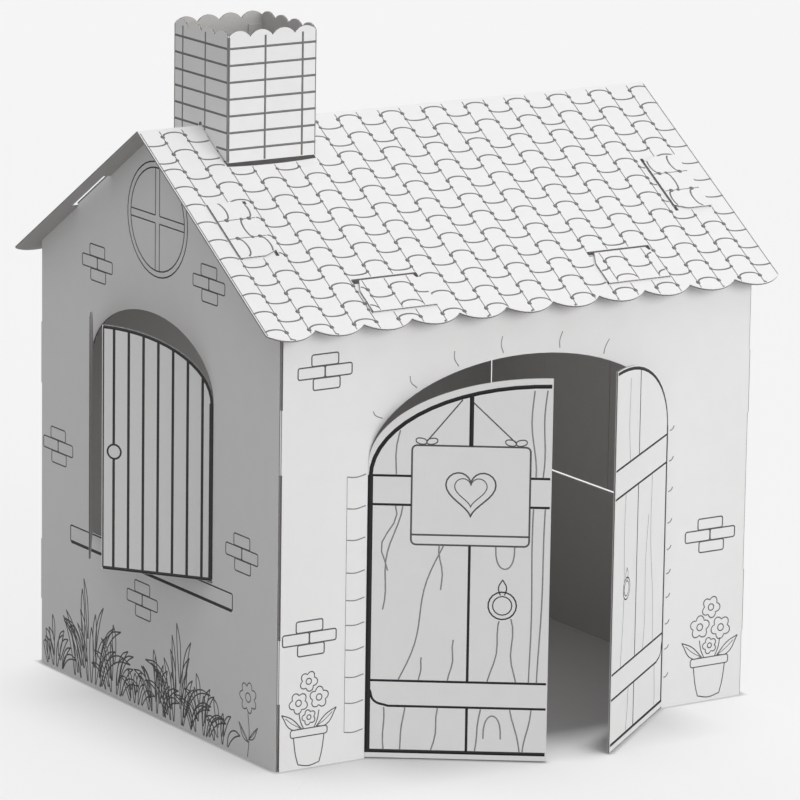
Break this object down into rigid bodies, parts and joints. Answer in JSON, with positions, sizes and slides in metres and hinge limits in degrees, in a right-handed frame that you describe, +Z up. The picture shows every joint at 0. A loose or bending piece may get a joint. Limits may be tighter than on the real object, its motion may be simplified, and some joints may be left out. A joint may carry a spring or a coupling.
{
  "type": "cardboard colouring playhouse",
  "caption": "Folded board playhouse with a gabled roof with scalloped eaves, a square chimney, arched door leaves and arched window shutters, printed with outlines to colour in.",
  "frame": {"origin": "middle of the wall footprint, on the floor", "axes": "+X along the ridge, the door wall faces -Y, +Z up"},
  "size_m": [0.9927, 0.9078, 1.0621],
  "materials": {
    "wall_board": "matt white lined corrugated board",
    "roof_board": "matt white lined corrugated board",
    "chimney_board": "matt white lined corrugated board",
    "leaf_board": "matt white lined corrugated board"
  },
  "bodies": {
    "house": {"walls": "wall_board", "roof": "roof_board", "chimney": "chimney_board"},
    "left_door": {"left_door": "leaf_board"},
    "right_door": {"right_door": "leaf_board"},
    "left_gable_front_shutter": {"left_gable_front_shutter": "leaf_board"},
    "left_gable_back_shutter": {"left_gable_back_shutter": "leaf_board"},
    "right_gable_front_shutter": {"right_gable_front_shutter": "leaf_board"},
    "right_gable_back_shutter": {"right_gable_back_shutter": "leaf_board"}
  },
  "joints": [
    {"name": "left_door_crease", "type": "hinge", "parent": "house", "child": "left_door", "pos_m": [-0.272, -0.355, 0.29], "axis": [0, 0, -1], "range_deg": [-35, 85]},
    {"name": "right_door_crease", "type": "hinge", "parent": "house", "child": "right_door", "pos_m": [0.272, -0.355, 0.29], "axis": [0, 0, 1], "range_deg": [-38, 82]},
    {"name": "left_gable_front_shutter_crease", "type": "hinge", "parent": "house", "child": "left_gable_front_shutter", "pos_m": [-0.425, -0.167, 0.42], "axis": [0, 0, 1], "range_deg": [-36, 84]},
    {"name": "left_gable_back_shutter_crease", "type": "hinge", "parent": "house", "child": "left_gable_back_shutter", "pos_m": [-0.425, 0.197, 0.42], "axis": [0, 0, -1], "range_deg": [-31, 89]},
    {"name": "right_gable_front_shutter_crease", "type": "hinge", "parent": "house", "child": "right_gable_front_shutter", "pos_m": [0.425, -0.167, 0.42], "axis": [0, 0, -1], "range_deg": [0, 120]},
    {"name": "right_gable_back_shutter_crease", "type": "hinge", "parent": "house", "child": "right_gable_back_shutter", "pos_m": [0.425, 0.197, 0.42], "axis": [0, 0, 1], "range_deg": [0, 120]}
  ]
}
